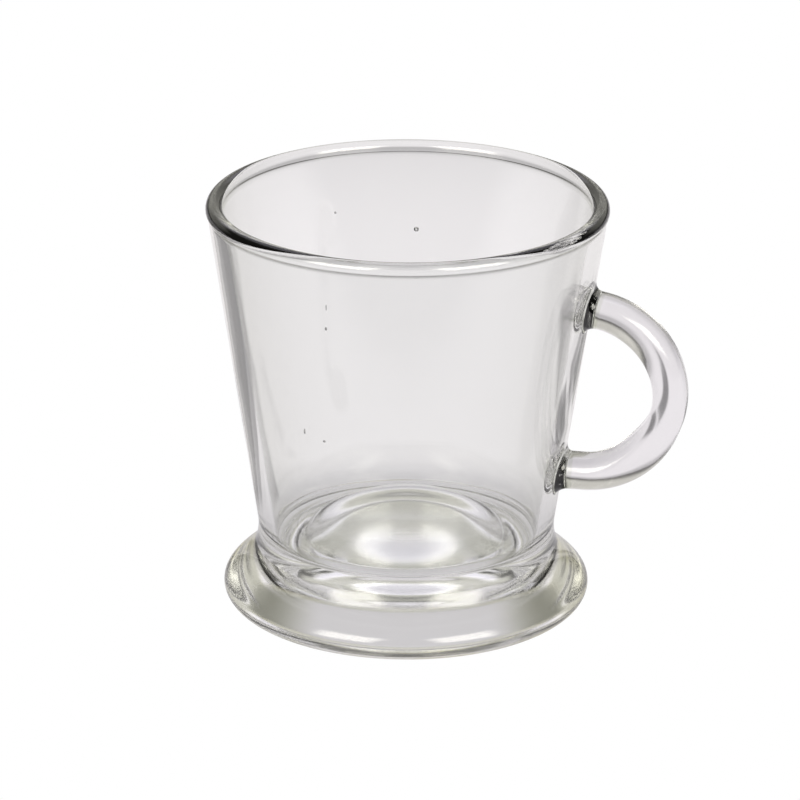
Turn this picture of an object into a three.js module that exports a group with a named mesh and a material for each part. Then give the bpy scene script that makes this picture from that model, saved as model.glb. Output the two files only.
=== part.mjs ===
// A glass mug: a conical bowl on a flared foot with a domed hollow, and a C-shaped handle on two weld pads.
// Millimetres, +Z up. The origin is on the mug's axis, in the plane that the mug stands on.
// The handle points along +X.
import * as THREE from 'three';

// Bowl
const MUG_HEIGHT = 97.5;
const RIM_RADIUS = 45.8;
const WALL = 3.5;
const NECK_RADIUS = 34.5;
const SKIRT_HEIGHT = 6.4;
const SKIRT_FLARE = 0.4;
const FLOOR_THICKNESS = 2;
const FLOOR_FILLET = 2.5;

// Dome of the inner floor
const GROOVE_WIDTH = 4.5;
const DOME_HEIGHT = 7.2;
const DOME_LEAN = 1.2;
const DOME_SPRING = 4.2;
const DOME_SLOPE = 8.5;

// Foot
const FOOT_HEIGHT = 14.6;
const FOOT_RADIUS = 42.4;
const FOOT_WIDEST_HEIGHT = 4.5;
const FOOT_ROLL = 6.2;
const SHOULDER_PULL = 3.6;
const INSTEP_PULL = 5.4;
const INSTEP_FLARE = 1.9;

// Hollow under the foot
const REST_WIDTH = 2;
const CROWN_THICKNESS = 2;
const CROWN_PULL = 9;
const STEP_INSET = 12.2;
const STEP_DROP = 5.1;
const STEP_RUN = 7;
const STEP_FALL = 1.5;

// Handle strap
const STRAP_THICKNESS = 7.6;
const STRAP_WIDTH = 10.5;
const STRAP_CORNER = 2.2;
const STRAP_SWELL = 1.1;
const HANDLE_DROP = 23;
const HANDLE_RISE = 20.2;

// Weld pads
const PAD_DEPTH = 2;
const PAD_FLARE = 2;
const PAD_EDGE = 0.4;
const WELD_GAP = 0.3;

// Fineness of the facets
const TURN_STEPS = 72;
const CURVE_STEPS = 6;
const CORNER_STEPS = 4;
const STRAP_STEPS = 36;
const FLARE_STEPS = 4;
const WELD_RINGS = 4;

// The straight wall runs from the neck, above the skirt on the foot, to the start of the round lip
const neckHeight = FOOT_HEIGHT + SKIRT_HEIGHT;
const seamRadius = NECK_RADIUS + SKIRT_FLARE;
const lipRadius = WALL / 2;
const lipHeight = MUG_HEIGHT - lipRadius;
const wallSlope = (RIM_RADIUS - NECK_RADIUS) / (lipHeight - neckHeight);

function wallRadiusAt(z) {
  return NECK_RADIUS + wallSlope * (z - neckHeight);
}

function clearGlass() {
  return new THREE.MeshStandardMaterial({
    color: 0xe6eae4,
    roughness: 0.04,
    metalness: 0,
    transparent: true,
    opacity: 0.35,
  });
}

function glassPiece(name, geometry) {
  const mesh = new THREE.Mesh(geometry, clearGlass());
  mesh.name = name;
  return mesh;
}

// Turns a closed profile of radius and height around the mug's axis
function turned(profile) {
  const geometry = new THREE.LatheGeometry(profile.getPoints(CURVE_STEPS), TURN_STEPS);
  return geometry.rotateX(Math.PI / 2);
}

// Joins rings of points into one closed solid, with a fan to a middle point at each end
function loftSolid(startPoint, rings, endPoint) {
  const count = rings[0].length;
  const points = [startPoint, ...rings.flat(), endPoint];
  const last = points.length - 1;
  const index = [];
  for (let i = 0; i < count; i += 1) {
    const next = (i + 1) % count;
    index.push(0, 1 + i, 1 + next);
    for (let ring = 0; ring < rings.length - 1; ring += 1) {
      const near = 1 + ring * count;
      const far = near + count;
      index.push(near + i, far + next, near + next);
      index.push(near + i, far + i, far + next);
    }
    index.push(last - count + i, last, last - count + next);
  }
  const geometry = new THREE.BufferGeometry().setFromPoints(points);
  geometry.setIndex(index);
  return geometry;
}

// Bowl: skirt on the foot, straight wall, round lip, inner wall, fillet, groove and domed floor
function bowlProfile() {
  const skirtMiddle = FOOT_HEIGHT + SKIRT_HEIGHT / 2;
  const floorHeight = FOOT_HEIGHT + FLOOR_THICKNESS;
  const filletHeight = floorHeight + FLOOR_FILLET;
  const wallLean = Math.hypot(1, wallSlope);
  const filletRadius = wallRadiusAt(filletHeight) - WALL - FLOOR_FILLET * wallLean;
  const domeRadius = filletRadius - GROOVE_WIDTH;
  const domeTop = floorHeight + DOME_HEIGHT;
  const profile = new THREE.Path();
  profile.moveTo(0, FOOT_HEIGHT);
  profile.lineTo(seamRadius, FOOT_HEIGHT);
  profile.quadraticCurveTo(wallRadiusAt(skirtMiddle), skirtMiddle, NECK_RADIUS, neckHeight);
  profile.lineTo(RIM_RADIUS, lipHeight);
  profile.absarc(RIM_RADIUS - lipRadius, lipHeight, lipRadius, 0, Math.PI, false);
  profile.absarc(filletRadius, filletHeight, FLOOR_FILLET, -Math.atan(wallSlope), -Math.PI / 2, true);
  profile.lineTo(domeRadius, floorHeight);
  profile.bezierCurveTo(
    domeRadius - DOME_LEAN, floorHeight + DOME_SPRING,
    domeRadius - DOME_SLOPE, domeTop,
    0, domeTop,
  );
  return profile;
}

// Foot: domed hollow, flat ring to rest on, rolled edge, convex shoulder and concave instep up to the seam
function footProfile() {
  const restRadius = FOOT_RADIUS - FOOT_ROLL;
  const hollowRadius = restRadius - REST_WIDTH;
  const crownHeight = FOOT_HEIGHT - CROWN_THICKNESS;
  const stepRadius = hollowRadius - STEP_INSET;
  const stepHeight = crownHeight - STEP_DROP;
  const down = -Math.PI / 2;
  const profile = new THREE.Path();
  profile.moveTo(0, crownHeight);
  profile.bezierCurveTo(
    stepRadius - CROWN_PULL, crownHeight,
    stepRadius - STEP_RUN, stepHeight + STEP_FALL,
    stepRadius, stepHeight,
  );
  profile.quadraticCurveTo(stepRadius + STEP_RUN, stepHeight - STEP_FALL, hollowRadius, 0);
  profile.lineTo(restRadius, 0);
  profile.absellipse(restRadius, FOOT_WIDEST_HEIGHT, FOOT_ROLL, FOOT_WIDEST_HEIGHT, down, 0, false, 0);
  profile.bezierCurveTo(
    FOOT_RADIUS, FOOT_WIDEST_HEIGHT + SHOULDER_PULL,
    seamRadius + INSTEP_FLARE, FOOT_HEIGHT - INSTEP_PULL,
    seamRadius, FOOT_HEIGHT,
  );
  profile.lineTo(0, FOOT_HEIGHT);
  return profile;
}

// Outline of the strap's section, across the width in x and through the thickness in y, grown by an offset
function strapOutline(offset) {
  const corner = STRAP_CORNER + offset;
  const flatX = STRAP_WIDTH / 2 - STRAP_CORNER;
  const flatY = STRAP_THICKNESS / 2 - STRAP_CORNER;
  const corners = [[flatX, flatY], [-flatX, flatY], [-flatX, -flatY], [flatX, -flatY]];
  return corners.flatMap(([x, y], quarter) => {
    const startAngle = quarter * Math.PI / 2;
    const arc = new THREE.EllipseCurve(x, y, corner, corner, startAngle, startAngle + Math.PI / 2);
    return arc.getPoints(CORNER_STEPS);
  });
}

// Where a strap's arm ends, facing its pad: the end point, and the direction in which the arm leaves the wall
function armEnd(height, downwardTilt) {
  const direction = new THREE.Vector3(Math.cos(downwardTilt), 0, -Math.sin(downwardTilt));
  const onWall = new THREE.Vector3(wallRadiusAt(height), 0, height);
  return { direction, face: onWall.addScaledVector(direction, PAD_DEPTH) };
}

// The upper arm leaves the wall squarely and the lower arm is level
const wallTilt = Math.atan(wallSlope);
const upperEnd = armEnd(MUG_HEIGHT - HANDLE_DROP, wallTilt);
const lowerEnd = armEnd(FOOT_HEIGHT + HANDLE_RISE, 0);

// A round bow in the mug's XZ plane, from where it meets the level lower arm up to the upper arm's end
const bowRadius = (upperEnd.face.z - lowerEnd.face.z) / (1 + Math.cos(wallTilt));
const bowMiddle = new THREE.Vector3(
  upperEnd.face.x - bowRadius * Math.sin(wallTilt),
  0,
  lowerEnd.face.z + bowRadius,
);

// One ring of the strap, square to its way: outward points away from the bow's middle
function strapRing(centre, outward, swell) {
  return strapOutline(0).map((point) => {
    const through = point.y < 0 ? point.y - swell : point.y;
    return new THREE.Vector3(0, point.x, 0).addScaledVector(outward, through).add(centre);
  });
}

// The strap swells inwards between the bow's outermost point and the lower arm
function strapSolid() {
  const rings = [strapRing(lowerEnd.face, new THREE.Vector3(0, 0, -1), 0)];
  const firstAngle = -Math.PI / 2;
  const lastAngle = Math.PI / 2 - wallTilt;
  for (let step = 0; step <= STRAP_STEPS; step += 1) {
    const angle = THREE.MathUtils.lerp(firstAngle, lastAngle, step / STRAP_STEPS);
    const outward = new THREE.Vector3(Math.cos(angle), 0, Math.sin(angle));
    const centre = bowMiddle.clone().addScaledVector(outward, bowRadius);
    const swell = angle < 0 ? STRAP_SWELL * Math.sin(2 * angle) ** 2 : 0;
    rings.push(strapRing(centre, outward, swell));
  }
  return loftSolid(lowerEnd.face, rings, upperEnd.face);
}

// Distance from a point to the wall's outer cone, going against a direction in the XZ plane
function distanceToWall(point, direction) {
  const radius = wallRadiusAt(point.z);
  const radiusChange = wallSlope * direction.z;
  const a = direction.x ** 2 - radiusChange ** 2;
  const b = point.x * direction.x - radius * radiusChange;
  const c = point.x ** 2 + point.y ** 2 - radius ** 2;
  return (b - Math.sqrt(b ** 2 - a * c)) / a;
}

// A weld pad: flares from the strap's end to the wall, and follows the wall at the weld gap
function padSolid({ direction, face }) {
  const across = new THREE.Vector3(0, 1, 0);
  const upward = new THREE.Vector3().crossVectors(direction, across);
  const start = face.clone().addScaledVector(direction, -WELD_GAP);
  const onStart = (outlinePoint) => start.clone()
    .addScaledVector(across, outlinePoint.x)
    .addScaledVector(upward, outlinePoint.y);
  const slide = (point, share, clearance) => {
    const run = distanceToWall(point, direction) - clearance;
    return point.clone().addScaledVector(direction, -share * run);
  };
  const rings = [];
  for (let step = 0; step <= FLARE_STEPS; step += 1) {
    const angle = (step / FLARE_STEPS) * Math.PI / 2;
    const outline = strapOutline(PAD_FLARE * (1 - Math.cos(angle)));
    rings.push(outline.map((point) => slide(onStart(point), Math.sin(angle), WELD_GAP + PAD_EDGE)));
  }
  const weldOutline = strapOutline(PAD_FLARE);
  for (let step = WELD_RINGS; step > 0; step -= 1) {
    const share = step / WELD_RINGS;
    rings.push(weldOutline.map((point) => slide(onStart(point.clone().multiplyScalar(share)), 1, WELD_GAP)));
  }
  return loftSolid(start, rings, slide(start, 1, WELD_GAP));
}

const mug = new THREE.Group();
mug.add(
  glassPiece('bowl', turned(bowlProfile())),
  glassPiece('foot', turned(footProfile())),
  glassPiece('handle', strapSolid()),
  glassPiece('upper_handle_pad', padSolid(upperEnd)),
  glassPiece('lower_handle_pad', padSolid(lowerEnd)),
);

export default mug;
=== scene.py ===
"""A clear glass mug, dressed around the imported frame: turned bowl and foot, strap handle and two weld pads."""
import math
from types import SimpleNamespace

import bmesh
import bpy
from bpy.props import FloatProperty, FloatVectorProperty, IntProperty, PointerProperty
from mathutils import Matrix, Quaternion, Vector
from mathutils.geometry import delaunay_2d_cdt


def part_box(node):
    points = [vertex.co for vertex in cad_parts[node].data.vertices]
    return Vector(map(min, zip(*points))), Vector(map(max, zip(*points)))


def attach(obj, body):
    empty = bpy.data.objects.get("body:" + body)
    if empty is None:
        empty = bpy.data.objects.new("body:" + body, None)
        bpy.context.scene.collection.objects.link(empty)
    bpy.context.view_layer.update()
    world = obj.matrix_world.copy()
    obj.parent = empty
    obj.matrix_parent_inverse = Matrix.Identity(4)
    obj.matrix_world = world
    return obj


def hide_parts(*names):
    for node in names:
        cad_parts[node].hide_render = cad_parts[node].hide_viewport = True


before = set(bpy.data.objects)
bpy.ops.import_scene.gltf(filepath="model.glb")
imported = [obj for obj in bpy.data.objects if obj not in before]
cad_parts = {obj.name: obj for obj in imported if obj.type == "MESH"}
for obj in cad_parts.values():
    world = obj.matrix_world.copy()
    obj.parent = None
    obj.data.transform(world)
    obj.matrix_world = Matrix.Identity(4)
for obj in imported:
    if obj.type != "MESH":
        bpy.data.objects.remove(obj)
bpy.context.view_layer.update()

bl_info = {
    "name": "Glass mug",
    "version": (1, 0, 0),
    "blender": (4, 5, 0),
    "location": "3D view > Sidebar > Glass mug",
    "description": "Builds a clear glass mug with a welded strap handle, and a studio around it",
    "category": "Add Mesh",
}

MM = 0.001
TURN = 2 * math.pi
QUARTER = TURN / 4
UP = Vector((0.0, 0.0, 1.0))
WHITE = (1.0, 1.0, 1.0)

# Steps along the parts of the two turned profiles
SKIRT_STEPS = 12
WALL_STEPS = 40
INNER_WALL_STEPS = 20
CREASE_STEPS = 10
ROUND_STEPS = 40
FILLET_STEPS = 16
DOME_STEPS = 32
REST_LIP_STEPS = 8

# Steps of the strap and the weld pads, and the shares along an arm and across a weld face
CORNER_STEPS = 10
BOW_STEPS = 120
ARM_SHARES = (0.0, 0.25, 0.5, 0.75)
FILLET_RINGS = 20
WELD_SHARES = (0.8, 0.6, 0.4, 0.2)

# Seeds in the wall: turn from the handle in degrees, height and radius in millimetres, stretch upwards
SEEDS = (
    (99.1, 76.4, 0.6, 1.0),
    (126.4, 81.4, 0.28, 1.0),
    (-102.5, 85.4, 0.14, 5.0),
    (-103.1, 80.1, 0.26, 1.6),
    (-114.7, 52.8, 0.2, 3.4),
    (-107.0, 51.4, 0.3, 1.0),
)
SEED_DETAIL = 3

# The window in the wall for the pads' outlines: its rows, and its half width as a share of a turn
WINDOW_ROWS = slice(2, -5)
WINDOW_SHARE = 1 / 18

# The least distance from the outlines to other points in the window, and the tolerance of the cut
SPOT_GAP = 0.35 * MM
CUT_TOLERANCE = 1e-9

# Distances that count as none, from the strictest on
SAME_POINT = 0.001 * MM
ON_WALL = 0.002 * MM
NEAR = 0.01 * MM

# The ends of the straight wall that keep their own normals, and the least angle of a crisp edge
WALL_MARGIN = 0.1 * MM
CRISP_ANGLE = math.radians(30)

# Noise in the glass, with scales per metre: waves, a cloud and the light that it leaves, and cords
WAVE_SCALE, WAVE_DETAIL = 55.0, 1.0
CLOUD_SCALE, CLOUD_DETAIL = 18.0, 2.0
CLOUD_LIGHT = 0.985
CORD_DETAIL = 1.5
CORD_MIDDLE, CORD_SPREAD = 0.5, 0.12

# The table under the mug, and where it goes over to the backdrop
TABLE_RADIUS = 3.0
TABLE_SEGMENTS = 96
TABLE_DROP = 0.2 * MM
SWEEP_START, SWEEP_FADE = 400 * MM, 160 * MM

# Fade widths, to each side, of the painted shade and dark patches on the table; WEDGE_FADE is a share of its
# width
FRONT_FADE = 500 * MM
SHADE_FADE = 20 * MM
FOOT_START_FADE = 6 * MM
FOOT_SHADE_FADE = 4 * MM
WEDGE_FADE = 0.12
WEDGE_NEAR_FADE = 8 * MM
STRIP_FADE = 4 * MM
GAP_FADE = 3 * MM
FAR_FADE = 15 * MM

# Panels of light seen from the mug, in degrees: turn from the camera's way, rise, half width, half height
SKY = (0, 45, 30, 17)
SWEEP = (0, 19, 50, 14)
LEFT_SOFTBOX = (-140, 32, 17, 16)
RIGHT_SOFTBOX = (140, 32, 17, 16)
CEILING = (0, 88, 35, 35)
PANEL_FADE = 0.35


def length(name, millimetres, description):
    """A length property, given in millimetres and kept in metres."""
    return FloatProperty(
        name=name, description=description, default=millimetres * MM,
        min=0.0, precision=5, subtype="DISTANCE", unit="LENGTH",
    )


def tint(name, colour, description):
    """A colour property, in linear red, green and blue."""
    return FloatVectorProperty(
        name=name, description=description, default=colour, size=3, min=0.0, max=1.0, subtype="COLOR",
    )


def amount(name, value, description, least=0.0, **limits):
    """A plain number."""
    return FloatProperty(name=name, description=description, default=value, precision=4, min=least, **limits)


def angle(name, degrees, description):
    """An angle property, given in degrees and kept in radians."""
    return FloatProperty(
        name=name, description=description, default=math.radians(degrees),
        subtype="ANGLE", unit="ROTATION",
    )


class MugSizes(bpy.types.PropertyGroup):
    """Sizes of the glass."""

    height: length("Height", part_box("bowl")[1][2] / MM, "From the table to the top of the lip")
    rim_radius: length("Rim radius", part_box("bowl")[1][0] / MM, "Outer radius of the wall at the lip")
    wall: length("Wall", 3.5, "Thickness of the wall, and of the lip")
    lip_swell: length("Lip swell", 0.22, "How far the lip stands out from the wall on each side")
    neck_radius: length("Neck radius", 34.5, "Outer radius of the wall above the skirt")
    skirt_height: length("Skirt height", 6.4, "Height of the curve between the foot and the straight wall")
    skirt_flare: length("Skirt flare", 0.4, "How much wider the skirt is at the seam than at the neck")
    floor_thickness: length("Floor thickness", 2.0, "From the seam up to the inner floor's groove")
    floor_fillet: length("Floor fillet", 2.5, "Radius between the inner floor and the inner wall")
    groove_width: length("Groove width", 4.5, "Width of the level groove round the floor's dome")
    dome_height: length("Dome height", 7.2, "How far the floor's dome rises above the groove")
    dome_lean: length("Dome lean", 1.2, "How far the dome's side leans in over its spring")
    dome_spring: length("Dome spring", 4.2, "Height of the steep side of the dome")
    dome_slope: length("Dome slope", 8.5, "From the groove in to where the dome's top flattens")
    foot_height: length("Foot height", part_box("foot")[1][2] / MM, "From the table to the seam under the bowl")
    foot_radius: length("Foot radius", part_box("foot")[1][0] / MM, "Largest radius of the foot")
    foot_widest: length("Widest height", 4.5, "Height at which the foot is widest")
    foot_roll: length("Foot roll", 6.2, "Width of the rounded lower edge")
    shoulder_pull: length("Shoulder pull", 3.6, "How far the foot's convex shoulder reaches up")
    instep_pull: length("Instep pull", 5.4, "How far the foot's concave instep reaches down")
    instep_flare: length("Instep flare", 1.9, "How far the instep leans out from the seam")
    rest_width: length("Rest width", 2.0, "Width of the flat ring that the foot rests on")
    rest_lip: length("Rest lip", 0.7, "Radius between the flat ring and the hollow")
    crown_thickness: length("Crown thickness", 2.0, "From the hollow's crown up to the seam")
    crown_pull: length("Crown pull", 9.0, "How far the flat of the crown stays inside the hollow's step")
    step_inset: length("Step inset", 12.2, "From the flat ring in to the hollow's step")
    step_drop: length("Step drop", 5.1, "From the crown down to the hollow's step")
    step_run: length("Step run", 7.0, "How far the step's slope reaches to each side")
    step_fall: length("Step fall", 1.5, "How far the step's slope falls over that reach")
    strap_thickness: length("Strap thickness", 7.6, "Of the handle's strap, in the plane of its bow")
    strap_width: length("Strap width", 10.5, "Of the handle's strap, across its bow")
    strap_corner: length("Strap corner", 3.5, "Radius of the strap's rounded edges")
    strap_swell: length("Strap swell", 1.1, "Extra thickness inside the lower half of the bow")
    handle_drop: length("Handle drop", 23.0, "From the lip down to the upper weld")
    handle_rise: length("Handle rise", 20.2, "From the seam up to the lower weld")
    pad_depth: length("Pad depth", 2.0, "From the wall to the strap's end")
    pad_flare: length("Pad flare", 2.0, "How far a pad's fillet spreads on the wall")
    turn_steps: IntProperty(name="Turn steps", description="Facets round the turned glass", default=512, min=16)


class MugGlass(bpy.types.PropertyGroup):
    """Looks of the glass."""

    bowl_tint: tint("Bowl tint", (0.93, 0.935, 0.93), "Light that the bowl's wall lets through")
    lip_tint: tint("Lip tint", (0.25, 0.255, 0.17), "Light that the lip lets through, edge on")
    wall_depth: amount("Wall depth", 0.57, "Share of the lip's tint that the wall has, edge on")
    foot_tint: tint("Foot tint", (0.93, 0.935, 0.925), "Light that the foot lets through")
    edge_tint: tint("Edge tint", (0.46, 0.42, 0.03), "Light that the foot lets through, edge on")
    cord_scale: amount("Cord scale", 70.0, "How close the cords in the foot's glass are, per metre")
    cord_depth: amount("Cord depth", 0.6, "How much clearer the glass is between the cords", max=1.0)
    foot_roughness: amount("Foot roughness", 0.1, "Of the pressed surface of the foot", max=1.0)
    handle_roughness: amount("Handle roughness", 0.15, "Of the pressed surface of the strap", max=1.0)
    handle_tint: tint("Handle tint", (0.87, 0.862, 0.875), "Light that the strap lets through")
    # The weld tint is darker than the strap's: painted shade where the strap meets the wall, over the glass's
    # own tint
    weld_tint_and_shade: tint("Weld tint", (0.72, 0.73, 0.68), "Light that the weld pads let through")
    ior: amount("Index", 1.52, "Index of refraction of the glass", least=1.0, max=2.5)
    wave: length("Wave", 0.05, "Depth of the faint waves in the surface")


class MugStudio(bpy.types.PropertyGroup):
    """The table, the lights and the camera."""

    white: amount("White", 1.0, "Brightness of the table and the room by themselves")
    table_light: amount("Table light", 0.96, "Brightness of the table")
    table_tint: tint("Table tint", (1.0, 0.97, 0.985), "Colour of the table's light in the glass")
    shade_tint: tint("Shade tint", (1.0, 0.97, 1.0), "Colour of the light that is left under the mug")
    shade_light: amount("Shade light", 0.74, "Share of the table's light that is left under the mug")
    shade_radius: length("Shade radius", 78.0, "Radius of the mug's shade on the table")
    foot_shade_light: amount("Foot shade light", 0.46, "Share that is left under the foot's two sides")
    foot_shade_tint: tint("Foot shade tint", (1.0, 0.985, 0.86), "Colour of the light under those sides")
    foot_shade_radius: length("Foot shade radius", 38.0, "Radius of the shade under those sides")
    foot_shade_start: length("Foot shade start", 24.0, "From the axis across to where that shade starts")
    front_reach: length("Front reach", 700.0, "How far in front of the mug the table's light is halved")
    # The left and right cards are no objects: they are painted shade, darker patches in the table's light seen
    # in the glass
    left_painted_shade: amount("Left flag", 0.38, "Share of the light that the dark card at the left leaves")
    right_painted_shade: amount("Right flag", 0.25, "Share of the light that the dark cards at the right leave")
    left_near: length("Left near end", 70.0, "From the axis to the near end of the left card")
    left_far: length("Left far end", 500.0, "From the axis to the far end of the left card")
    left_turn: angle("Left turn", 47.25, "Where the middle of the left card is, from straight behind the mug")
    left_spread: angle("Left spread", 14.75, "From the middle of the left card to its side")
    left_reach: length("Left reach", 150.0, "From the axis to where the left card has its full width")
    right_near: length("Right near end", 55.0, "How far behind the mug the right cards start")
    right_gap: length("Right gap", 85.0, "How far behind the mug the right cards' gap starts")
    right_gap_end: length("Right gap end", 98.0, "How far behind the mug that gap ends")
    right_far: length("Right far end", 185.0, "How far behind the mug the right cards end")
    right_across: length("Right across", 94.0, "From the axis across to the middle of the right cards")
    right_half: length("Right half width", 17.0, "From the middle of the right cards to their side")
    room_tint: tint("Room tint", (1.0, 0.98, 0.89), "Colour of the room's light in the glass")
    room_light: amount("Room light", 0.1, "Brightness of the room around")
    sweep_light: amount("Sweep light", 0.57, "Brightness of the backdrop behind the mug")
    sky_tint: tint("Sky tint", (0.95, 0.92, 1.0), "Colour of the pale light high behind the mug")
    sky_light: amount("Sky light", 0.92, "Brightness of that light")
    softbox_light: amount("Softbox light", 9.0, "Brightness of the two softboxes beside the camera")
    ceiling_light: amount("Ceiling light", 0.06, "Brightness of the ceiling")
    softbox_depth: amount("Softbox depth", 0.2, "Share of the softboxes' light that goes through glass")
    azimuth: angle("Azimuth", 12.0, "How far the camera stands round towards the handle")
    elevation: angle("Elevation", 20.75, "How far the camera looks down")
    roll: angle("Roll", 0.27, "How far the camera is tilted sideways")
    distance: length("Distance", 1200.0, "From the camera to the middle of the mug")
    aim_height: length("Aim height", 48.0, "Height of the point that the camera looks at")
    lens: amount("Focal length", 234.1, "Of the camera, in millimetres on a 36 mm frame", least=1.0)
    shift_x: amount("Shift across", -0.0085, "How far the frame is moved to the right, in widths", least=-1.0)
    shift_y: amount("Shift up", 0.0035, "How far the frame is moved upwards, in widths", least=-1.0)
    bounces: IntProperty(name="Bounces", description="Of the light in the glass", default=14, min=1)


class Field:
    """A node's output that takes part in Python expressions: each operator adds a Math node."""

    def __init__(self, tree, socket):
        self.tree = tree
        self.socket = socket

    def maths(self, operation, *others):
        """A Math node on this value and others."""
        values = dict(enumerate((self, *others)))
        return self.tree.node("ShaderNodeMath", {"operation": operation}, values)[0]

    def turned_round(self, operation, other):
        """A Math node with this as the second value."""
        return self.tree.node("ShaderNodeMath", {"operation": operation}, {0: other, 1: self})[0]

    def __add__(self, other):
        return self.maths("ADD", other)

    def __radd__(self, other):
        return self.turned_round("ADD", other)

    def __sub__(self, other):
        return self.maths("SUBTRACT", other)

    def __rsub__(self, other):
        return self.turned_round("SUBTRACT", other)

    def __mul__(self, other):
        return self.maths("MULTIPLY", other)

    def __rmul__(self, other):
        return self.turned_round("MULTIPLY", other)

    def __truediv__(self, other):
        return self.maths("DIVIDE", other)

    def __rtruediv__(self, other):
        return self.turned_round("DIVIDE", other)

    def __mod__(self, other):
        return self.maths("MODULO", other)

    def __lt__(self, other):
        return self.maths("LESS_THAN", other)

    def __gt__(self, other):
        return self.maths("GREATER_THAN", other)

    def __neg__(self):
        return self.maths("MULTIPLY", -1.0)

    def __abs__(self):
        return self.maths("ABSOLUTE")

    def rising(self, middle, spread):
        """A smooth step from none to one, round a middle."""
        return self.tree.node("ShaderNodeMapRange", {"interpolation_type": "SMOOTHSTEP"}, {
            "Value": self, "From Min": middle - spread, "From Max": middle + spread,
        })["Result"]

    def along(self, way):
        """How far a place or a way goes along another way."""
        return self.tree.node("ShaderNodeVectorMath", {"operation": "DOT_PRODUCT"}, {0: self, 1: way})["Value"]


class Added:
    """A node that was added to a tree. Its outputs are read by name or by number."""

    def __init__(self, tree, node):
        self.tree = tree
        self.bpy_node = node

    def __getitem__(self, key):
        return Field(self.tree, self.bpy_node.outputs[key])


class Tree:
    """A node tree that nodes are added to."""

    def __init__(self, node_tree):
        self.node_tree = node_tree

    def node(self, kind, settings=None, sockets=None):
        """Adds a node of a kind, with its settings first and then its sockets' values or links."""
        node = self.node_tree.nodes.new(kind)
        for name, value in (settings or {}).items():
            setattr(node, name, value)
        for key, value in (sockets or {}).items():
            if isinstance(value, Field):
                self.node_tree.links.new(value.socket, node.inputs[key])
            else:
                node.inputs[key].default_value = value
        return Added(self, node)


def cleared(block):
    """The node tree of a new material or world, with nothing in it."""
    block.use_nodes = True
    block.node_tree.nodes.clear()
    return Tree(block.node_tree)


def noise(tree, place, scale, detail):
    """Soft noise from none to one."""
    return tree.node("ShaderNodeTexNoise", {}, {"Vector": place, "Scale": scale, "Detail": detail})["Fac"]


def blend(tree, share, colour, other):
    """A colour, or a field of colours, that goes over to another colour."""
    start = colour if isinstance(colour, Field) else (*colour, 1.0)
    return tree.node("ShaderNodeMix", {"data_type": "RGBA"}, {
        "Factor": share, "A": start, "B": (*other, 1.0),
    })["Result"]


def edge_on(tree):
    """Rises where a surface is seen edge on, so that light goes a long way through the glass behind it."""
    facing = tree.node("ShaderNodeLayerWeight")["Facing"]
    return facing * facing


def corded_edge_on(look):
    """The same for the foot, with cords in the thick glass: patches that are deeper or clearer."""
    def share(tree, place):
        cords = noise(tree, place, look.cord_scale, CORD_DETAIL).rising(CORD_MIDDLE, CORD_SPREAD)
        return edge_on(tree) * (1 - look.cord_depth * (1 - cords))

    return share


def wall_edge_on(sizes, look):
    """The same for the bowl: less on the thin wall, and more on the rounded lip."""
    shape = derived(sizes)

    def share(tree, place):
        lip = place.along(UP).rising(shape.lip_height - shape.lip_radius, sizes.lip_swell)
        return edge_on(tree) * (lip + (1 - lip) * look.wall_depth)

    return share


def glass_material(name, colour, look, deep_colour=None, deep_share=None, roughness=0.0):
    """Clear fire-polished glass with faint waves, and a deeper tint in a share of its surface."""
    material = bpy.data.materials.new(name)
    tree = cleared(material)
    place = tree.node("ShaderNodeTexCoord")["Object"]
    waves = noise(tree, place, WAVE_SCALE, WAVE_DETAIL)
    bump = tree.node("ShaderNodeBump", {}, {"Height": waves, "Distance": look.wave})["Normal"]
    cloud = noise(tree, place, CLOUD_SCALE, CLOUD_DETAIL)
    base = blend(tree, cloud, colour, [CLOUD_LIGHT * channel for channel in colour])
    if deep_share is not None:
        base = blend(tree, deep_share(tree, place), base, deep_colour)
    glass = tree.node("ShaderNodeBsdfPrincipled", {}, {
        "Base Color": base,
        "Roughness": roughness,
        "IOR": look.ior,
        "Transmission Weight": 1.0,
        "Normal": bump,
    })["BSDF"]
    tree.node("ShaderNodeOutputMaterial", {}, {"Surface": glass})
    return material


def weld_material():
    """Glass fused to glass: a face between two pieces, where light passes unbent."""
    material = bpy.data.materials.get("fused_face")
    if material is None:
        material = bpy.data.materials.new("fused_face")
        tree = cleared(material)
        clear = tree.node("ShaderNodeBsdfTransparent")["BSDF"]
        tree.node("ShaderNodeOutputMaterial", {}, {"Surface": clear})
    return material


def derived(sizes):
    """Lengths that follow from the sizes."""
    lip_radius = sizes.wall / 2
    lip_height = sizes.height - lip_radius
    neck_height = sizes.foot_height + sizes.skirt_height
    slope = (sizes.rim_radius - sizes.neck_radius) / (lip_height - neck_height)
    return SimpleNamespace(
        lip_radius=lip_radius,
        lip_height=lip_height,
        neck_height=neck_height,
        seam_radius=sizes.neck_radius + sizes.skirt_flare,
        slope=slope,
        wall_radius=lambda z: sizes.neck_radius + slope * (z - neck_height),
    )


def level_ways(azimuth):
    """The level ways to the right of, and away from, someone who stands at an azimuth."""
    right = Vector((math.cos(azimuth), math.sin(azimuth), 0.0))
    away = Vector((-math.sin(azimuth), math.cos(azimuth), 0.0))
    return right, away


def spaced(start, end, steps):
    """Numbers from start to end, both included."""
    return [start + (end - start) * step / steps for step in range(steps + 1)]


def arc(centre, radii, start, end, steps):
    """Points of radius and height on an ellipse's arc."""
    return [
        (centre[0] + radii[0] * math.cos(turn), centre[1] + radii[1] * math.sin(turn))
        for turn in spaced(start, end, steps)
    ]


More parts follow.
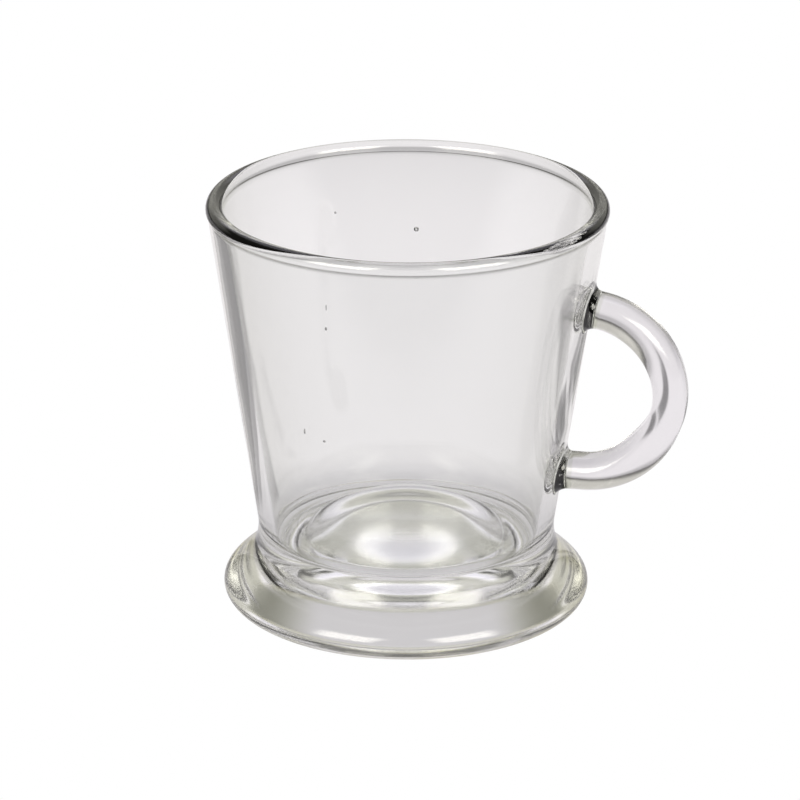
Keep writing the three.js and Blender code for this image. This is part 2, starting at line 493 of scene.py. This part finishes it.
def curve(points, steps):
    """Points on a smooth curve from the first point to the last, pulled by those between."""
    run = []
    for share in spaced(0.0, 1.0, steps):
        row = [Vector(point) for point in points]
        while len(row) > 1:
            row = [near.lerp(far, share) for near, far in zip(row, row[1:])]
        run.append(tuple(row[0]))
    return run


def line(start, end, steps):
    """Points on a straight line."""
    return [tuple(Vector(start).lerp(Vector(end), share)) for share in spaced(0.0, 1.0, steps)]


def joined(*runs):
    """Runs of points as one, without the point that two of them share."""
    points = list(runs[0])
    for run in runs[1:]:
        points += run[1:]
    return points


def lip_shape(sizes):
    """The beaded lip: its radius, its middle, and the creases and starts below it on the wall's two sides."""
    shape = derived(sizes)
    bead = shape.lip_radius + sizes.lip_swell
    middle = (sizes.rim_radius - shape.lip_radius, sizes.height - bead)
    turn = math.acos(shape.lip_radius / bead)
    crease_height = middle[1] - bead * math.sin(turn)
    start_height = crease_height - bead / 2
    outer = [(shape.wall_radius(height), height) for height in (start_height, crease_height)]
    inner = [(radius - sizes.wall, height) for radius, height in outer]
    return SimpleNamespace(bead=bead, middle=middle, turn=turn, outer=outer, inner=inner)


def wall_line(sizes):
    """The straight outer wall, from the neck to under the lip."""
    return line((sizes.neck_radius, derived(sizes).neck_height), lip_shape(sizes).outer[0], WALL_STEPS)


def bowl_profile(sizes):
    """Seam, skirt, straight wall, round lip, inner wall, fillet and domed inner floor, as radius and height."""
    shape = derived(sizes)
    skirt_middle = sizes.foot_height + sizes.skirt_height / 2
    floor_height = sizes.foot_height + sizes.floor_thickness
    fillet_height = floor_height + sizes.floor_fillet
    fillet_radius = shape.wall_radius(fillet_height) - sizes.wall
    fillet_radius -= sizes.floor_fillet * math.hypot(1, shape.slope)
    seam = (shape.seam_radius, sizes.foot_height)
    neck = (sizes.neck_radius, shape.neck_height)
    skirt = curve([seam, (shape.wall_radius(skirt_middle), skirt_middle), neck], SKIRT_STEPS)
    wall = wall_line(sizes)
    rim = lip_shape(sizes)
    round_lip = arc(rim.middle, (rim.bead, rim.bead), -rim.turn / 2, math.pi + rim.turn / 2, ROUND_STEPS)
    lip = joined(
        curve([*rim.outer, round_lip[0]], CREASE_STEPS),
        round_lip,
        curve([round_lip[-1], *reversed(rim.inner)], CREASE_STEPS),
    )
    fillet = arc(
        (fillet_radius, fillet_height), (sizes.floor_fillet, sizes.floor_fillet),
        -math.atan(shape.slope), -QUARTER, FILLET_STEPS,
    )
    inner_wall = line(lip[-1], fillet[0], INNER_WALL_STEPS)
    dome_radius = fillet_radius - sizes.groove_width
    crown_height = floor_height + sizes.dome_height
    dome = curve([
        (dome_radius, floor_height),
        (dome_radius - sizes.dome_lean, floor_height + sizes.dome_spring),
        (dome_radius - sizes.dome_slope, crown_height),
        (0.0, crown_height),
    ], DOME_STEPS)
    return joined([(0.0, sizes.foot_height), seam], skirt, wall, lip, inner_wall, [*fillet, dome[0]], dome)


def foot_profile(sizes):
    """Domed hollow, flat rest, rolled edge, convex shoulder and concave instep up to the seam."""
    shape = derived(sizes)
    rest_radius = sizes.foot_radius - sizes.foot_roll
    hollow_radius = rest_radius - sizes.rest_width
    crown_height = sizes.foot_height - sizes.crown_thickness
    step = (hollow_radius - sizes.step_inset, crown_height - sizes.step_drop)
    lip_start = (hollow_radius - sizes.rest_lip / 2, sizes.rest_lip)
    seam = (shape.seam_radius, sizes.foot_height)
    crown = curve([
        (0.0, crown_height),
        (step[0] - sizes.crown_pull, crown_height),
        (step[0] - sizes.step_run, step[1] + sizes.step_fall),
        step,
    ], DOME_STEPS)
    skirt = curve([step, (step[0] + sizes.step_run, step[1] - sizes.step_fall), lip_start], DOME_STEPS)
    lip = curve([lip_start, (hollow_radius, 0.0), (hollow_radius + sizes.rest_lip, 0.0)], REST_LIP_STEPS)
    roll = arc(
        (rest_radius, sizes.foot_widest), (sizes.foot_roll, sizes.foot_widest),
        -QUARTER, 0.0, ROUND_STEPS,
    )
    side = curve([
        (sizes.foot_radius, sizes.foot_widest),
        (sizes.foot_radius, sizes.foot_widest + sizes.shoulder_pull),
        (shape.seam_radius + sizes.instep_flare, sizes.foot_height - sizes.instep_pull),
        seam,
    ], ROUND_STEPS)
    return joined(crown, skirt, [*lip, roll[0]], roll, side, [seam, (0.0, sizes.foot_height)])


def new_group(name, inputs, output):
    """An empty group of geometry nodes with named inputs, and one geometry as its output."""
    group = bpy.data.node_groups.new(name, "GeometryNodeTree")
    for socket, kind in inputs.items():
        group.interface.new_socket(socket, in_out="INPUT", socket_type=f"NodeSocket{kind}")
    group.interface.new_socket(output, in_out="OUTPUT", socket_type="NodeSocketGeometry")
    return group


def passed_on(tree, geometry, *steps):
    """A geometry after nodes that change it in turn, each given by its kind and its other sockets."""
    for kind, sockets in steps:
        geometry = tree.node(kind, {}, {"Geometry": geometry, **sockets})["Geometry"]
    return geometry


def turning_tree():
    """Geometry nodes that turn a profile round the axis, and make the faces in the seam's plane weld faces."""
    name = "Turned glass"
    group = bpy.data.node_groups.get(name)
    if group is not None:
        return group
    group = new_group(name, {
        "Profile": "Geometry", "Steps": "Int", "Seam Height": "Float", "Glass": "Material", "Weld": "Material",
    }, "Glass piece")
    tree = Tree(group)
    given = tree.node("NodeGroupInput")
    count = tree.node("GeometryNodeAttributeDomainSize", {"component": "MESH"}, {"Geometry": given["Profile"]})
    rows = count["Point Count"]
    steps = given["Steps"]
    sheet = tree.node("GeometryNodeMeshGrid", {}, {"Vertices X": steps + 1, "Vertices Y": rows})["Mesh"]
    index = tree.node("GeometryNodeInputIndex")["Index"]
    column = (index / rows).maths("FLOOR")
    on_profile = tree.node("GeometryNodeSampleIndex", {"data_type": "FLOAT_VECTOR"}, {
        "Geometry": given["Profile"],
        "Value": tree.node("GeometryNodeInputPosition")["Position"],
        "Index": index % rows,
    })["Value"]
    profile = tree.node("ShaderNodeSeparateXYZ", {}, {"Vector": on_profile})
    turn = column * TURN / steps
    place = tree.node("ShaderNodeCombineXYZ", {}, {
        "X": profile["X"] * turn.maths("COSINE"),
        "Y": profile["X"] * turn.maths("SINE"),
        "Z": profile["Z"],
    })["Vector"]
    height = tree.node("GeometryNodeInputPosition")["Position"].along(UP)
    in_seam = abs(height - given["Seam Height"]) < NEAR
    piece = passed_on(
        tree, sheet,
        ("GeometryNodeSetPosition", {"Position": place}),
        ("GeometryNodeMergeByDistance", {"Distance": SAME_POINT}),
        ("GeometryNodeSetShadeSmooth", {}),
        ("GeometryNodeRealizeInstances", {}),
        ("GeometryNodeSetMaterial", {"Material": given["Glass"]}),
        ("GeometryNodeSetMaterial", {"Selection": in_seam, "Material": given["Weld"]}),
    )
    tree.node("NodeGroupOutput", {}, {"Glass piece": piece})
    return group


def new_object(name, mesh):
    """A mesh as an object at the origin, in the scene."""
    thing = bpy.data.objects.new(name, mesh)
    bpy.context.scene.collection.objects.link(thing)
    return thing


def applied(thing, group, values):
    """Runs a node group on an object with its inputs set, and leaves the result as a plain mesh."""
    modifier = thing.modifiers.new(group.name, "NODES")
    modifier.node_group = group
    for item in group.interface.items_tree:
        if item.in_out == "INPUT" and item.name in values:
            modifier[item.identifier] = values[item.name]
    evaluated = thing.evaluated_get(bpy.context.evaluated_depsgraph_get())
    mesh = bpy.data.meshes.new_from_object(evaluated)
    thing.modifiers.clear()
    thing.data = mesh
    return thing


def turned_piece(name, profile, sizes, glass):
    """A closed piece of glass, turned from a profile of radius and height."""
    mesh = bpy.data.meshes.new(name)
    points = [(radius, 0.0, height) for radius, height in profile]
    mesh.from_pydata(points, [(i, i + 1) for i in range(len(points) - 1)], [])
    piece = applied(new_object(name, mesh), turning_tree(), {
        "Steps": sizes.turn_steps,
        "Seam Height": sizes.foot_height,
        "Glass": glass,
        "Weld": weld_material(),
    })
    drop_empty_slot(piece.data)
    return piece


def drop_empty_slot(mesh):
    """Takes out the empty first slot that the nodes leave: glass is slot 0, and weld faces are slot 1."""
    slots = [0] * len(mesh.polygons)
    mesh.polygons.foreach_get("material_index", slots)
    mesh.materials.pop(index=0)
    mesh.polygons.foreach_set("material_index", [slot - 1 for slot in slots])


def finish_faces(thing):
    """Turns the faces outwards, and keeps the edge between glass and a weld face crisp."""
    mesh = bmesh.new()
    mesh.from_mesh(thing.data)
    bmesh.ops.recalc_face_normals(mesh, faces=mesh.faces)
    for edge in mesh.edges:
        near, far = edge.link_faces
        edge.smooth = near.material_index == far.material_index or edge.calc_face_angle() < CRISP_ANGLE
    for face in mesh.faces:
        face.smooth = True
    mesh.to_mesh(thing.data)
    mesh.free()


def seed_tree():
    """Geometry nodes that put a small hollow ball, which may be stretched upwards, at each place."""
    group = new_group("Seeds", {"Places": "Geometry", "Glass": "Material"}, "Hollows")
    tree = Tree(group)
    given = tree.node("NodeGroupInput")
    ball = tree.node("GeometryNodeMeshIcoSphere", {}, {"Subdivisions": SEED_DETAIL})["Mesh"]
    hollow = tree.node("GeometryNodeFlipFaces", {}, {"Mesh": ball})["Mesh"]
    size, stretch = (
        tree.node("GeometryNodeInputNamedAttribute", {"data_type": "FLOAT"}, {"Name": name})["Attribute"]
        for name in ("size", "stretch")
    )
    scale = tree.node("ShaderNodeCombineXYZ", {}, {"X": size, "Y": size, "Z": size * stretch})["Vector"]
    balls = tree.node("GeometryNodeInstanceOnPoints", {}, {
        "Points": given["Places"], "Instance": hollow, "Scale": scale,
    })["Instances"]
    hollows = passed_on(
        tree, balls,
        ("GeometryNodeSetShadeSmooth", {}),
        ("GeometryNodeRealizeInstances", {}),
        ("GeometryNodeSetMaterial", {"Material": given["Glass"]}),
    )
    tree.node("NodeGroupOutput", {}, {"Hollows": hollows})
    return group


def add_seeds(bowl, sizes, glass):
    """Puts the seeds into the middle of the bowl's wall, as hollows in its mesh."""
    shape = derived(sizes)
    places = []
    for turn, height, _, _ in SEEDS:
        radius = shape.wall_radius(height * MM) - sizes.wall / 2
        way = math.radians(turn)
        places.append((radius * math.cos(way), radius * math.sin(way), height * MM))
    dots = bpy.data.meshes.new("seeds")
    dots.from_pydata(places, [], [])
    dots.attributes.new("size", "FLOAT", "POINT").data.foreach_set("value", [seed[2] * MM for seed in SEEDS])
    dots.attributes.new("stretch", "FLOAT", "POINT").data.foreach_set("value", [seed[3] for seed in SEEDS])
    seeds = applied(new_object("seeds", dots), seed_tree(), {"Glass": glass})
    mesh = bmesh.new()
    mesh.from_mesh(bowl.data)
    own_faces = len(mesh.faces)
    mesh.from_mesh(seeds.data)
    for face in list(mesh.faces)[own_faces:]:
        face.material_index = 0
    mesh.to_mesh(bowl.data)
    mesh.free()
    bpy.data.objects.remove(seeds)


def stands_for(thing, node):
    """The piece takes a CAD node's place, whose part is hidden, and rides with the mug."""
    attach(thing, "root")
    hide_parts(node)


def strap_outline(sizes, offset):
    """The strap's rounded section, across its width and through its thickness, grown by an offset."""
    flat_across = sizes.strap_width / 2 - sizes.strap_corner
    flat_through = sizes.strap_thickness / 2 - sizes.strap_corner
    corner = (sizes.strap_corner + offset, sizes.strap_corner + offset)
    outline = []
    for number, (right, out) in enumerate(((1, 1), (-1, 1), (-1, -1), (1, -1))):
        centre = (right * flat_across, out * flat_through)
        outline += arc(centre, corner, number * QUARTER, (number + 1) * QUARTER, CORNER_STEPS)
    return outline


def arm_end(sizes, height, tilt):
    """Where an arm of the strap ends: its face's middle, the way it leaves the wall, and upwards across it."""
    way = Vector((math.cos(tilt), 0.0, -math.sin(tilt)))
    on_wall = Vector((derived(sizes).wall_radius(height), 0.0, height))
    return SimpleNamespace(way=way, up=Vector((-way.z, 0.0, way.x)), face=on_wall + way * sizes.pad_depth)


def handle_ends(sizes):
    """The upper arm leaves the wall squarely, and the lower arm is level."""
    upper = arm_end(sizes, sizes.height - sizes.handle_drop, math.atan(derived(sizes).slope))
    lower = arm_end(sizes, sizes.foot_height + sizes.handle_rise, 0.0)
    return upper, lower


def to_wall(sizes, point, way):
    """Distance from a point to the wall's outer cone, against a way in the XZ plane: a quadratic's root."""
    shape = derived(sizes)
    radius = shape.wall_radius(point.z)
    change = shape.slope * way.z
    a = way.x ** 2 - change ** 2
    b = point.x * way.x - radius * change
    c = point.x ** 2 + point.y ** 2 - radius ** 2
    return (b - math.sqrt(b ** 2 - a * c)) / a


def lofted(name, rings, glass, glass_rings):
    """A closed piece through rings of points, with a fan at each end; fans and last rings are weld faces."""
    count = len(rings[0])
    points = [point for ring in rings for point in ring]
    first = len(points)
    points += [sum(ring, Vector()) / count for ring in (rings[0], rings[-1])]
    last_ring = first - count
    faces = []
    slots = []
    for i in range(count):
        following = (i + 1) % count
        faces.append((first, following, i))
        faces.append((first + 1, last_ring + i, last_ring + following))
        slots += [1, 1]
        for ring in range(len(rings) - 1):
            near = ring * count
            far = near + count
            faces.append((near + i, near + following, far + following, far + i))
            slots.append(0 if ring < glass_rings else 1)
    mesh = bpy.data.meshes.new(name)
    mesh.from_pydata(points, [], faces)
    mesh.polygons.foreach_set("material_index", slots)
    mesh.materials.append(glass)
    mesh.materials.append(weld_material())
    thing = new_object(name, mesh)
    finish_faces(thing)
    return thing


def pad_rings(sizes, end):
    """Rings of a weld pad: a fillet from the strap's end out to the wall, then the weld face on the wall."""
    across = Vector((0.0, 1.0, 0.0))

    def on_face(point):
        return end.face + across * point[0] + end.up * point[1]

    def slid(point, share):
        return point - end.way * (share * to_wall(sizes, point, end.way))

    rings = []
    for turn in spaced(0.0, QUARTER, FILLET_RINGS):
        outline = strap_outline(sizes, sizes.pad_flare * (1 - math.cos(turn)))
        rings.append([slid(on_face(point), math.sin(turn)) for point in outline])
    widest = strap_outline(sizes, sizes.pad_flare)
    for share in WELD_SHARES:
        rings.append([slid(on_face((share * x, share * y)), 1.0) for x, y in widest])
    return rings


def window_border(turns, rows):
    """The places round the window in the wall, as turn and height."""
    border = [(turn, rows[0]) for turn in turns]
    border += [(turns[-1], z) for z in rows[1:]]
    border += [(turn, rows[-1]) for turn in reversed(turns[:-1])]
    border += [(turns[0], z) for z in reversed(rows[1:-1])]
    return border


def cut_weld_faces(thing, sizes, outlines):
    """Cuts the pads' outlines into the wall, so that the faces under the pads can be weld faces."""
    shape = derived(sizes)
    steps = sizes.turn_steps
    columns = round(steps * WINDOW_SHARE)
    rows = [z for _, z in wall_line(sizes)][WINDOW_ROWS]
    mesh = bmesh.new()
    mesh.from_mesh(thing.data)

    def on_cone(vertex):
        return abs(math.hypot(vertex.co.x, vertex.co.y) - shape.wall_radius(vertex.co.z)) < ON_WALL

    # The wall's own faces in the window go, and triangles through the border and the outlines take their place
    widest = TURN * (columns + 0.5) / steps
    low, high = rows[0] - NEAR, rows[-1] + NEAR
    window = [
        face for face in mesh.faces
        if all(
            low < corner.co.z < high and on_cone(corner) and abs(math.atan2(corner.co.y, corner.co.x)) < widest
            for corner in face.verts
        )
    ]
    bmesh.ops.delete(mesh, geom=window, context="FACES")
    stretch = sizes.neck_radius
    turns = [TURN * column / steps for column in range(-columns, columns + 1)]
    border = window_border(turns, rows)
    loops = [border]
    for outline in outlines:
        loops.append([(math.atan2(point.y, point.x), point.z) for point in outline])
    spots, cuts = [], []
    for loop in loops:
        cuts.append(list(range(len(spots), len(spots) + len(loop))))
        spots += [Vector((turn * stretch, z)) for turn, z in loop]
    drawn = spots[len(border):]
    for turn in turns[1:-1]:
        for z in rows[1:-1]:
            spot = Vector((turn * stretch, z))
            if min((spot - other).length for other in drawn) > SPOT_GAP:
                spots.append(spot)
    flat_points, _, triangles, _, _, inside = delaunay_2d_cdt(spots, [], cuts, 1, CUT_TOLERANCE)
    corners = []
    for point in flat_points:
        turn, z = point.x / stretch, point.y
        radius = shape.wall_radius(z)
        corners.append(mesh.verts.new((radius * math.cos(turn), radius * math.sin(turn), z)))
    for triangle, loops_round in zip(triangles, inside):
        face = mesh.faces.new([corners[i] for i in triangle])
        face.material_index = 1 if any(number > 0 for number in loops_round) else 0
    bmesh.ops.remove_doubles(mesh, verts=mesh.verts, dist=ON_WALL)
    mesh.to_mesh(thing.data)
    mesh.free()


def true_cone_normals(thing, sizes):
    """Gives the straight wall's corners the cone's own normals, so that its uneven facets don't show."""
    shape = derived(sizes)
    mesh = thing.data
    lean = math.hypot(1, shape.slope)
    low, high = shape.neck_height + WALL_MARGIN, lip_shape(sizes).outer[0][1] - WALL_MARGIN
    normals = [Vector(corner.vector) for corner in mesh.corner_normals]
    for loop in mesh.loops:
        x, y, z = mesh.vertices[loop.vertex_index].co
        radius = math.hypot(x, y)
        if low < z < high and abs(radius - shape.wall_radius(z)) < NEAR:
            normals[loop.index] = Vector((x / radius, y / radius, -shape.slope)) / lean
    mesh.normals_split_custom_set(normals)


class MUG_OT_bowl(bpy.types.Operator):
    """Turns the bowl, and cuts the two weld faces for the handle's pads into its wall."""

    bl_idname = "mug.bowl"
    bl_label = "Bowl"

    def execute(self, context):
        sizes = context.scene.mug_sizes
        look = context.scene.mug_glass
        glass = glass_material("bowl_glass", look.bowl_tint, look, look.lip_tint, wall_edge_on(sizes, look))
        bowl = turned_piece("turned_bowl", bowl_profile(sizes), sizes, glass)
        outlines = [pad_rings(sizes, end)[FILLET_RINGS] for end in handle_ends(sizes)]
        cut_weld_faces(bowl, sizes, outlines)
        finish_faces(bowl)
        add_seeds(bowl, sizes, glass)
        true_cone_normals(bowl, sizes)
        stands_for(bowl, "bowl")
        return {"FINISHED"}


class MUG_OT_foot(bpy.types.Operator):
    """Turns the hollow foot under the bowl."""

    bl_idname = "mug.foot"
    bl_label = "Foot"

    def execute(self, context):
        sizes = context.scene.mug_sizes
        look = context.scene.mug_glass
        glass = glass_material(
            "foot_glass", look.foot_tint, look, look.edge_tint, corded_edge_on(look), look.foot_roughness,
        )
        foot = turned_piece("hollow_foot", foot_profile(sizes), sizes, glass)
        finish_faces(foot)
        stands_for(foot, "foot")
        return {"FINISHED"}


class MUG_OT_handle(bpy.types.Operator):
    """Lofts the handle's strap round its bow, from the lower arm to the upper arm."""

    bl_idname = "mug.handle"
    bl_label = "Handle"

    def execute(self, context):
        sizes = context.scene.mug_sizes
        look = context.scene.mug_glass
        upper, lower = handle_ends(sizes)
        tilt = math.atan(derived(sizes).slope)
        bow = (upper.face.z - lower.face.z) / (1 + math.cos(tilt))
        middle = Vector((upper.face.x - bow * math.sin(tilt), 0.0, lower.face.z + bow))
        rings = []

        def add_ring(centre, outward, swell):
            rings.append([
                centre + Vector((0.0, across, 0.0)) + outward * (through - (swell if through < 0 else 0.0))
                for across, through in strap_outline(sizes, 0.0)
            ])

        start = Vector((middle.x, 0.0, lower.face.z))
        for share in ARM_SHARES:
            add_ring(lower.face.lerp(start, share), -UP, 0.0)
        for turn in spaced(-QUARTER, QUARTER - tilt, BOW_STEPS):
            outward = Vector((math.cos(turn), 0.0, math.sin(turn)))
            swell = sizes.strap_swell * math.sin(2 * turn) ** 2 if turn < 0 else 0.0
            add_ring(middle + outward * bow, outward, swell)
        glass = glass_material("handle_glass", look.handle_tint, look, roughness=look.handle_roughness)
        strap = lofted("strap_handle", rings, glass, len(rings))
        stands_for(strap, "handle")
        return {"FINISHED"}


class MUG_OT_pads(bpy.types.Operator):
    """Makes the two flared weld pads between the strap's ends and the wall."""

    bl_idname = "mug.pads"
    bl_label = "Weld pads"

    def execute(self, context):
        sizes = context.scene.mug_sizes
        look = context.scene.mug_glass
        # The pads' glass is tinted darker than the strap's: painted shade at the joins to the wall
        glass = glass_material("weld_glass", look.weld_tint_and_shade, look)
        for place, end in zip(("upper", "lower"), handle_ends(sizes)):
            pad = lofted(f"{place}_weld_pad", pad_rings(sizes, end), glass, FILLET_RINGS)
            stands_for(pad, f"{place}_handle_pad")
        return {"FINISHED"}


class MUG_OT_stage(bpy.types.Operator):
    """Sets up the light table, the room, the softboxes and the camera."""

    bl_idname = "mug.stage"
    bl_label = "Stage"

    def execute(self, context):
        scene = context.scene
        studio = scene.mug_studio
        scene.view_settings.view_transform = "Standard"
        scene.cycles.use_denoising = True
        for limit in ("max_bounces", "transmission_bounces", "glossy_bounces", "transparent_max_bounces"):
            setattr(scene.cycles, limit, studio.bounces)
        self.table(studio)
        self.room(scene, studio)
        self.camera(scene, studio)
        return {"FINISHED"}

    def table(self, studio):
        """A round table: plain white by itself, and in the glass with painted shade under the mug and painted
        dark patches behind it.
        """
        mesh = bmesh.new()
        bmesh.ops.create_circle(mesh, cap_ends=True, segments=TABLE_SEGMENTS, radius=TABLE_RADIUS)
        bmesh.ops.translate(mesh, verts=mesh.verts, vec=(0.0, 0.0, -TABLE_DROP))
        data = bpy.data.meshes.new("light_table")
        mesh.to_mesh(data)
        mesh.free()
        material = bpy.data.materials.new("light_table")
        tree = cleared(material)
        place = tree.node("ShaderNodeTexCoord")["Object"]
        right, away = level_ways(studio.azimuth)
        radius = tree.node("ShaderNodeVectorMath", {"operation": "LENGTH"}, {0: place})["Value"]
        far = place.along(away).rising(SWEEP_START, SWEEP_FADE)
        near = (-place.along(away)).rising(studio.front_reach, FRONT_FADE)
        # Painted shade: the table's light is dimmed under the mug, under the foot's two sides and in the dark
        # patches behind it
        shade = 1 - radius.rising(studio.shade_radius, SHADE_FADE)
        light = studio.table_light - far * (studio.table_light - studio.sweep_light)
        light = light * (1 - shade * (1 - studio.shade_light)) * (1 - near * (1 - studio.room_light))
        sides = abs(place.along(right)).rising(studio.foot_shade_start, FOOT_START_FADE)
        sides = sides * (1 - radius.rising(studio.foot_shade_radius, FOOT_SHADE_FADE))
        light = light * (1 - sides * (1 - studio.foot_shade_light)) * self.flags(place, radius, studio)
        colour = blend(tree, shade, studio.table_tint, studio.shade_tint)
        colour = blend(tree, sides, colour, studio.foot_shade_tint)
        tree.node("ShaderNodeOutputMaterial", {}, {
            "Surface": self.glow(tree, "ShaderNodeEmission", light, colour, studio),
        })
        data.materials.append(material)
        new_object("light_table", data)

    def room(self, scene, studio):
        """A dim room with a sky, a backdrop, two softboxes and a ceiling, each a soft-edged panel far away."""
        world = bpy.data.worlds.new("studio_room")
        tree = cleared(world)
        way = tree.node("ShaderNodeTexCoord")["Generated"]
        through = tree.node("ShaderNodeLightPath")["Is Transmission Ray"]
        softbox = studio.softbox_light * (1 - through * (1 - studio.softbox_depth))
        sky = self.panel(way, studio, *SKY)
        light = studio.room_light + studio.sky_light * sky
        for panel, brightness in (
            (SWEEP, studio.sweep_light),
            (LEFT_SOFTBOX, softbox),
            (RIGHT_SOFTBOX, softbox),
            (CEILING, studio.ceiling_light),
        ):
            light = light + brightness * self.panel(way, studio, *panel)
        colour = blend(tree, sky, studio.room_tint, studio.sky_tint)
        tree.node("ShaderNodeOutputWorld", {}, {
            "Surface": self.glow(tree, "ShaderNodeBackground", light, colour, studio),
        })
        scene.world = world

    def glow(self, tree, kind, light, colour, studio):
        """A shader that gives off tinted light into the glass, and shows plain white by itself."""
        seen = tree.node("ShaderNodeLightPath")["Is Camera Ray"]
        shown = blend(tree, seen, colour, WHITE)
        return tree.node(kind, {}, {"Color": shown, "Strength": light + seen * (studio.white - light)})[0]

    def flags(self, place, radius, studio):
        """Painted shade in place of dark cards behind the mug: the light left in a wedge at the left and a strip
        in two at the right.
        """
        right, away = level_ways(studio.azimuth)
        across, behind = place.along(right), place.along(away)
        turn = (-across).maths("ARCTAN2", behind)
        width = studio.left_spread * (radius / studio.left_reach).maths("MINIMUM", 1.0)
        wedge = 1 - (abs(turn - studio.left_turn) / width).rising(1.0, WEDGE_FADE)
        wedge = wedge * radius.rising(studio.left_near, WEDGE_NEAR_FADE)
        wedge = wedge * (1 - radius.rising(studio.left_far, FAR_FADE))
        strip = 1 - abs(across - studio.right_across).rising(studio.right_half, STRIP_FADE)
        strip = strip * behind.rising(studio.right_near, STRIP_FADE)
        strip = strip * (1 - behind.rising(studio.right_far, FAR_FADE))
        gap_start, gap_end = (behind.rising(end, GAP_FADE) for end in (studio.right_gap, studio.right_gap_end))
        strip = strip * (1 - gap_start + gap_end)
        return (1 - wedge * (1 - studio.left_painted_shade)) * (1 - strip * (1 - studio.right_painted_shade))

    def panel(self, way, studio, turn, rise, half_width, half_height):
        """One inside a panel seen from the mug and none outside: its turn is from the way the camera looks."""
        right, away = level_ways(studio.azimuth - math.radians(turn))
        tilt = math.radians(rise)
        middle = away * math.cos(tilt) + UP * math.sin(tilt)
        top = UP * math.cos(tilt) - away * math.sin(tilt)
        ahead = way.along(middle)
        sideways = abs(way.along(right) / ahead)
        upwards = abs(way.along(top) / ahead)
        inside = ahead > 0.0
        for distance, half in ((sideways, half_width), (upwards, half_height)):
            edge = math.tan(math.radians(half))
            inside = inside * (1 - distance.rising(edge, PANEL_FADE * edge))
        return inside

    def camera(self, scene, studio):
        """A camera with a long lens, that looks down at the mug."""
        lens = bpy.data.cameras.new("camera")
        lens.lens = studio.lens
        lens.shift_x = studio.shift_x
        lens.shift_y = studio.shift_y
        thing = bpy.data.objects.new("camera", lens)
        level = math.cos(studio.elevation)
        back = Vector((
            math.sin(studio.azimuth) * level, -math.cos(studio.azimuth) * level, math.sin(studio.elevation),
        ))
        thing.location = UP * studio.aim_height + back * studio.distance
        upright = (-back).to_track_quat("-Z", "Y")
        thing.rotation_euler = (upright @ Quaternion(UP, studio.roll)).to_euler()
        scene.collection.objects.link(thing)
        scene.camera = thing


class MUG_PT_panel(bpy.types.Panel):
    """Lists the mug's sizes, looks and operators."""

    bl_idname = "MUG_PT_panel"
    bl_label = "Glass mug"
    bl_space_type = "VIEW_3D"
    bl_region_type = "UI"
    bl_category = "Glass mug"

    def draw(self, context):
        for group in GROUPS:
            values = getattr(context.scene, group)
            box = self.layout.box()
            for name in type(values).__annotations__:
                box.prop(values, name)
        for operator in OPERATORS:
            self.layout.operator(operator.bl_idname)


OPERATORS = (MUG_OT_bowl, MUG_OT_foot, MUG_OT_handle, MUG_OT_pads, MUG_OT_stage)
GROUPS = {"mug_sizes": MugSizes, "mug_glass": MugGlass, "mug_studio": MugStudio}


def register():
    for name, group in GROUPS.items():
        bpy.utils.register_class(group)
        setattr(bpy.types.Scene, name, PointerProperty(type=group))
    for shown in (*OPERATORS, MUG_PT_panel):
        bpy.utils.register_class(shown)


def unregister():
    for shown in reversed((*OPERATORS, MUG_PT_panel)):
        bpy.utils.unregister_class(shown)
    for name, group in GROUPS.items():
        delattr(bpy.types.Scene, name)
        bpy.utils.unregister_class(group)


def main():
    register()
    bpy.ops.mug.bowl()
    bpy.ops.mug.foot()
    bpy.ops.mug.handle()
    bpy.ops.mug.pads()
    bpy.ops.mug.stage()


if __name__ == "__main__":
    main()
